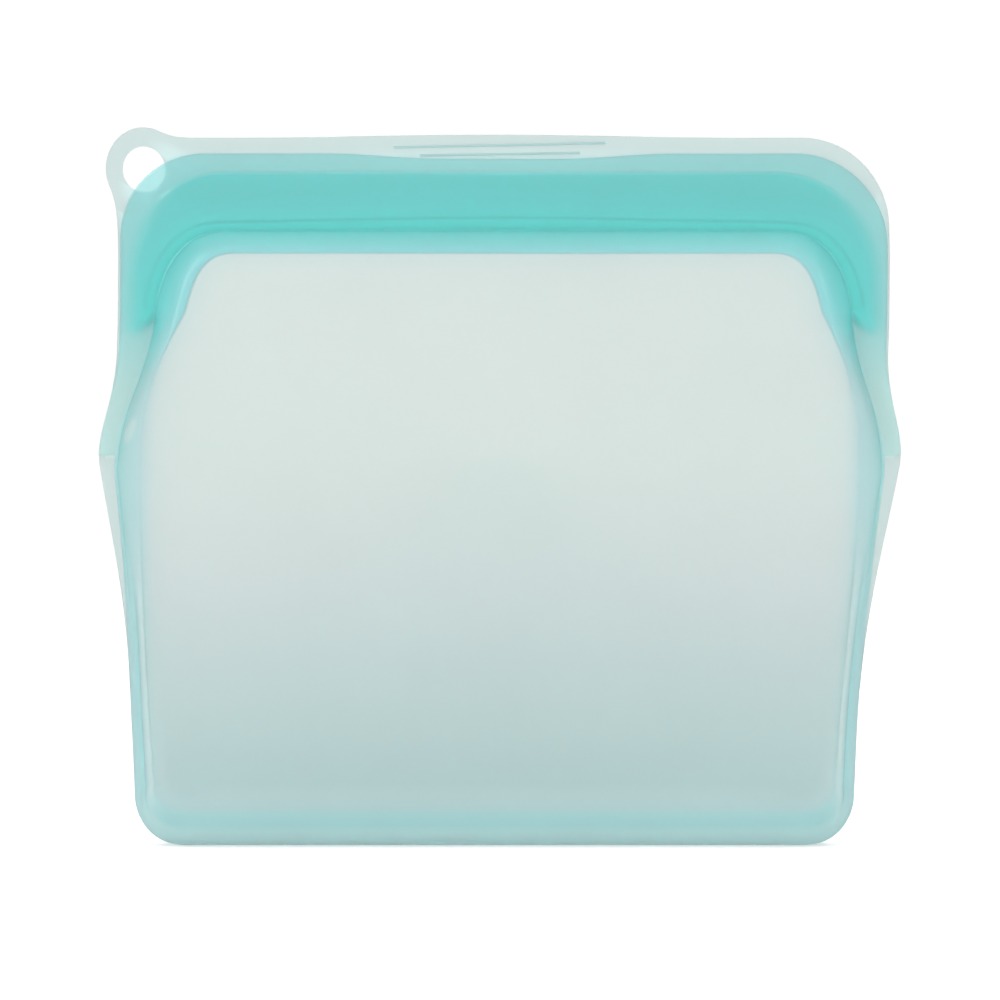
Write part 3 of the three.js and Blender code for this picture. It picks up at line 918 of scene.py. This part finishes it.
# %% [markdown]
# ## Floor, light and camera
# A translucent thing is lit mostly from behind. The world is a white room that is brighter behind
# the bag than in front of it, a broad lamp overhead whitens the floor, and a softbox on each side
# draws a soft streak along the shoulders. The floor glows a little, which keeps shadows faint.

# %% Floor
scene = bpy.context.scene
scene.view_settings.view_transform = "Standard"
deselect_all()
bpy.ops.mesh.primitive_plane_add(size=12, location=(0, 0, -0.0004))
floor = bpy.context.object
floor.name = "floor"
paper = bpy.data.materials.new("white_paper")
paper.use_nodes = True
paper_skin = paper.node_tree.nodes["Principled BSDF"]
paper_skin.inputs["Base Color"].default_value = (0.7, 0.7, 0.7, 1)
paper_skin.inputs["Emission Color"].default_value = (1, 1, 1, 1)
paper_skin.inputs["Emission Strength"].default_value = 0.45
paper_skin.inputs["Roughness"].default_value = 0.9
floor.data.materials.append(paper)
print(floor.name, "is", round(floor.dimensions.x, 1), "m wide")

# %% A white room, brighter behind
world = bpy.data.worlds.new("white_room")
scene.world = world
world.use_nodes = True
room = world.node_tree
way = room.nodes.new("ShaderNodeTexCoord")
axes = room.nodes.new("ShaderNodeSeparateXYZ")
level = room.nodes.new("ShaderNodeMapRange")
level.interpolation_type = "SMOOTHSTEP"
level.inputs["From Min"].default_value = -0.3
level.inputs["From Max"].default_value = 0.7
level.inputs["To Min"].default_value = 0.78
level.inputs["To Max"].default_value = 1.02
room.links.new(way.outputs["Generated"], axes.inputs["Vector"])
room.links.new(axes.outputs["Y"], level.inputs["Value"])
room.links.new(level.outputs["Result"], room.nodes["Background"].inputs["Strength"])
room.nodes["Background"].inputs["Color"].default_value = (1, 1, 1, 1)


# %% Lamps
def softbox(name, place, aim, size, power):
    data = bpy.data.lights.new(name, "AREA")
    data.shape = "RECTANGLE"
    data.size, data.size_y = size
    data.energy = power
    lamp = bpy.data.objects.new(name, data)
    lamp.location = place
    way = np.array(aim) - np.array(place)
    flat = math.hypot(way[0], way[1])
    lamp.rotation_euler = (math.atan2(flat, -way[2]), 0, math.atan2(way[1], way[0]) - math.pi / 2)
    scene.collection.objects.link(lamp)
    print(name, power, "W")


softbox("overhead", (0, 0.5, 1.6), (0, 0.5, 0), (2.4, 2.4), 14)
softbox("left_streak", (-0.9, -0.75, 0.75), (0, 0, 0.12), (0.25, 0.7), 3)
softbox("right_streak", (0.9, -0.75, 0.75), (0, 0, 0.12), (0.25, 0.7), 1.5)

# %% Camera, level with the middle of the bag
LENS, SENSOR, FIELD = 150.0, 36.0, 0.325
camera_data = bpy.data.cameras.new("camera")
camera = bpy.data.objects.new("camera", camera_data)
scene.collection.objects.link(camera)
camera_data.lens = LENS
camera_data.sensor_width = SENSOR
camera.location = (0.0003, -FIELD * LENS / SENSOR, 0.1115)
camera.rotation_euler = (math.radians(90), 0, 0)
scene.camera = camera
print("camera", round(-camera.location.y, 2), "m away, lens", LENS, "mm")
